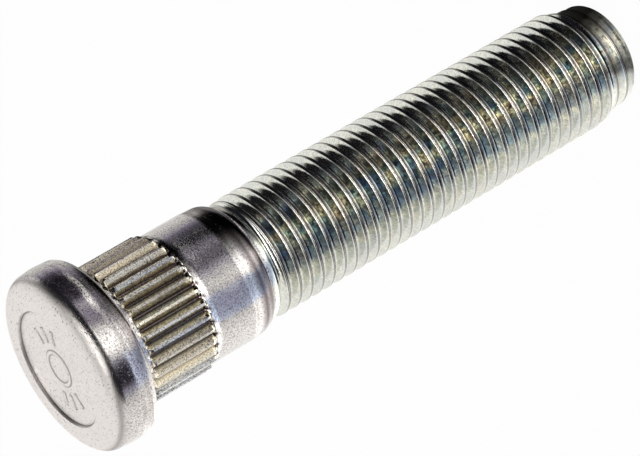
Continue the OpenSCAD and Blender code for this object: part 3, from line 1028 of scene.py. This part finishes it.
def room_light(direction):
    """The wall's light where the wall or its arch is, white elsewhere, plus the two patches."""
    x, y, z = np.moveaxis(direction, -1, 0)
    turn = np.degrees(np.arctan2(y, x))
    dark = smooth(turn, *WALL_FROM) * (1 - smooth(turn, *WALL_TO))
    arch = np.degrees(np.arctan2(z, -y))
    up = np.degrees(np.arcsin(np.clip(z, -1, 1)))
    overhead = smooth(up, *ARCH_UP) * (1 - smooth(arch, *ARCH_OVER))
    dark = np.maximum(dark * (1 - smooth(up, *WALL_TOP)), overhead)[..., None]
    key = KEY_LIGHT * patch(turn, up, (KEY_TURN, KEY_UP), (KEY_WIDE, KEY_TALL))
    key = (key + STRIP_LIGHT * patch(turn, up, (STRIP_TURN, STRIP_UP), (STRIP_WIDE, STRIP_TALL)))[..., None]
    return dark * WALL_LIGHT + (1 - dark) * WHITE_LIGHT + key * CREAM


room_turn = np.radians(np.linspace(-180, 180, 181))
room_up = np.radians(np.linspace(0, 90, 61))[:, None]
room_direction = np.stack([np.cos(room_up) * np.cos(room_turn), np.cos(room_up) * np.sin(room_turn),
                           np.sin(room_up) * np.ones(len(room_turn))], -1)
room_points = room_direction * ROOM_R + np.array([0, 0, FLOOR_Z])
print("room card points:", room_points.size // 3)

# %% [markdown]
# A card is a plain mesh that glows in its points' own colours. It is hidden from the camera, from soft
# light, from shadows and from see-through rays, which leaves reflections alone.

# %% The two cards
card_paint = bpy.data.materials.new("card_paint")
card_paint.use_nodes = True
tree = card_paint.node_tree
tree.nodes.clear()
glow = add_node(tree, "ShaderNodeEmission")
light_colour = add_node(tree, "ShaderNodeAttribute", attribute_name="light").outputs["Color"]
tree.links.new(light_colour, glow.inputs["Color"])
tree.links.new(glow.outputs[0], add_node(tree, "ShaderNodeOutputMaterial").inputs["Surface"])


def card(name, grid, colour):
    """A card that only reflections see: a grid of points and the light that each one shows."""
    rows, columns = grid.shape[:2]
    index = np.arange(rows * columns).reshape(rows, columns)
    faces = np.stack([index[:-1, :-1], index[:-1, 1:], index[1:, 1:], index[1:, :-1]], -1).reshape(-1, 4)
    mesh = bpy.data.meshes.new(name)
    mesh.from_pydata(grid.reshape(-1, 3).tolist(), [], faces.tolist())
    layer = mesh.attributes.new("light", "FLOAT_COLOR", "POINT")
    opaque = np.append(colour.reshape(-1, 3), np.ones((rows * columns, 1)), 1)
    layer.data.foreach_set("color", opaque.ravel())
    mesh.materials.append(card_paint)
    thing = bpy.data.objects.new(name, mesh)
    bpy.context.collection.objects.link(thing)
    thing.visible_camera = False
    thing.visible_diffuse = False
    thing.visible_shadow = False
    thing.visible_transmission = False


card("floor_card", mat_points, mat_colour)
card("room_card", room_points, room_light(room_direction))

# %% [markdown]
# ## Lamp
# One soft box lights what isn't mirror: the floor, and so the stud's soft shadow. It is hidden from
# reflections, where the room card already shows it.

# %% Soft box
def soft_box(name, turn, up, away, wide, tall, light):
    """A lamp at a turn and a height angle: its watts are its light times pi times its area."""
    lamp = bpy.data.lights.new(name, "AREA")
    lamp.shape = "RECTANGLE"
    lamp.size = wide
    lamp.size_y = tall
    lamp.energy = light * np.pi * wide * tall
    thing = bpy.data.objects.new(name, lamp)
    turn, up = np.radians(turn), np.radians(up)
    place = Vector((np.cos(up) * np.cos(turn), np.cos(up) * np.sin(turn), np.sin(up))) * away
    thing.location = place
    thing.rotation_mode = "QUATERNION"
    thing.rotation_quaternion = (-place).to_track_quat("-Z", "Y")
    thing.visible_glossy = False
    bpy.context.collection.objects.link(thing)
    print("%s: %.2f W, %.2f m away" % (name, lamp.energy, away))


soft_box("key_box", turn=-86, up=55, away=0.9, wide=0.85, tall=0.35, light=3.0)

# %% [markdown]
# ## Camera
# A long lens from the head's side, looking down by 26 degrees and rolled so that the stud crosses the
# picture from the head at lower left to the tip at upper right. The object stays where it is and the
# camera turns instead, so that the model keeps the frame that it shares with the solid.

# %% Camera
CAMERA_AT = np.array([-1.09, -342.8, 139.9])
LOOK_DOWN = 26.13
ROLL = -120.4
FOCAL = 203.8
SENSOR_WIDE = 36.0
lens = bpy.data.cameras.new("camera")
lens.lens = FOCAL
lens.sensor_width = SENSOR_WIDE
lens.clip_start = 0.01
lens.clip_end = 50
camera = bpy.data.objects.new("camera", lens)
camera.matrix_world = (Matrix.Translation(Vector(CAMERA_AT * MM))
                       @ Matrix.Rotation(np.radians(90 - LOOK_DOWN), 4, "X")
                       @ Matrix.Rotation(np.radians(ROLL), 4, "Z"))
bpy.context.collection.objects.link(camera)
bpy.context.scene.camera = camera
bpy.context.scene.view_settings.view_transform = "Standard"
print("camera %.0f mm from the seat, lens %.1f mm" % (np.linalg.norm(CAMERA_AT), FOCAL))
